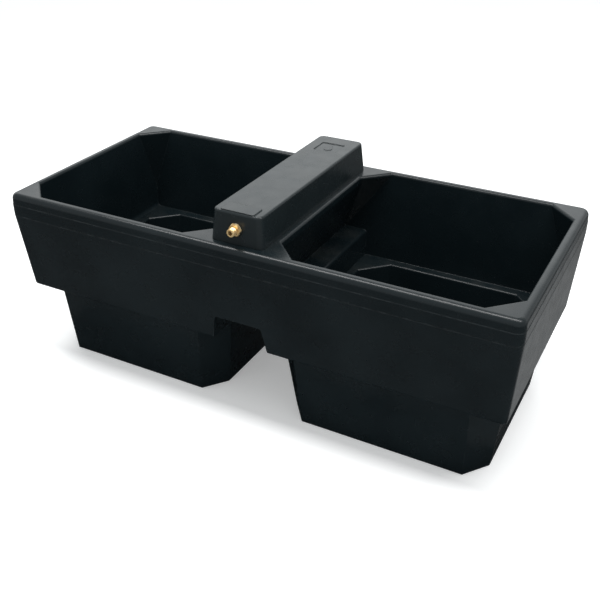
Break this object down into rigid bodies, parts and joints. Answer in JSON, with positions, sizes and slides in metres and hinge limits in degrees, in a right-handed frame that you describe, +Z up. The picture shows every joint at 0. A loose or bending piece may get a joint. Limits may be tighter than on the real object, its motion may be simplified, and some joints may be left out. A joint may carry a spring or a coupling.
{
  "type": "livestock water trough",
  "caption": "Double-basin black plastic drinking trough for cattle and sheep, with sumps, a tunnel under its middle and a lift-off service cover holding a brass float valve.",
  "frame": {"origin": "centre of the footprint on the ground, midway along the length and the width", "axes": "+X along the trough's length, +Y from the inlet side to the back, +Z up"},
  "size_m": [1.5, 0.686, 0.6225],
  "materials": {
    "black_polyethylene": "satin, rotationally moulded, faint orange peel",
    "grey_polyethylene": "satin, rotationally moulded, fine grain",
    "brass": "machined and cast brass, lightly tarnished",
    "stainless": "bright drawn",
    "rubber": "matt",
    "nylon": "natural nylon",
    "float_plastic": "blow moulded, satin",
    "plug_plastic": "injection moulded, satin"
  },
  "bodies": {
    "trough": {"trough_body": "black_polyethylene", "drain_bush_right": "brass", "drain_bush_left": "brass"},
    "cover": {"service_cover": "grey_polyethylene", "valve_body": "brass", "inlet_backnut": "brass", "outer_washer": "nylon", "inner_washer": "rubber", "valve_seat": "nylon", "body_end_cap": "brass", "outlet_deflector": "nylon", "pivot_pin": "stainless"},
    "piston": {"valve_piston": "brass", "piston_washer": "rubber", "washer_retainer": "brass"},
    "float_arm": {"lever": "brass", "float_rod": "brass", "rod_locknut": "brass", "float_insert": "brass", "float_ball": "float_plastic"},
    "plug_right": {"drain_plug_right": "plug_plastic", "drain_seal_right": "rubber"},
    "plug_left": {"drain_plug_left": "plug_plastic", "drain_seal_left": "rubber"}
  },
  "joints": [
    {"name": "cover_lift", "type": "slide", "parent": "trough", "child": "cover", "axis": [0, 0, 1], "range_m": [0, 0.2]},
    {"name": "float_swing", "type": "hinge", "parent": "cover", "child": "float_arm", "pos_m": [0, -0.2582, 0.561], "axis": [1, 0, 0], "range_deg": [0, 14]},
    {"name": "piston_slide", "type": "slide", "parent": "cover", "child": "piston", "axis": [0, 1, 0], "range_m": [-0.0037, 0]},
    {"name": "drain_right_out", "type": "slide", "parent": "trough", "child": "plug_right", "axis": [0, 1, 0], "range_m": [0, 0.07]},
    {"name": "drain_left_out", "type": "slide", "parent": "trough", "child": "plug_left", "axis": [0, 1, 0], "range_m": [0, 0.07]}
  ],
  "couplings": [
    {"joint": "piston_slide", "follows": "float_swing", "m_per_rad": -0.014963}
  ]
}
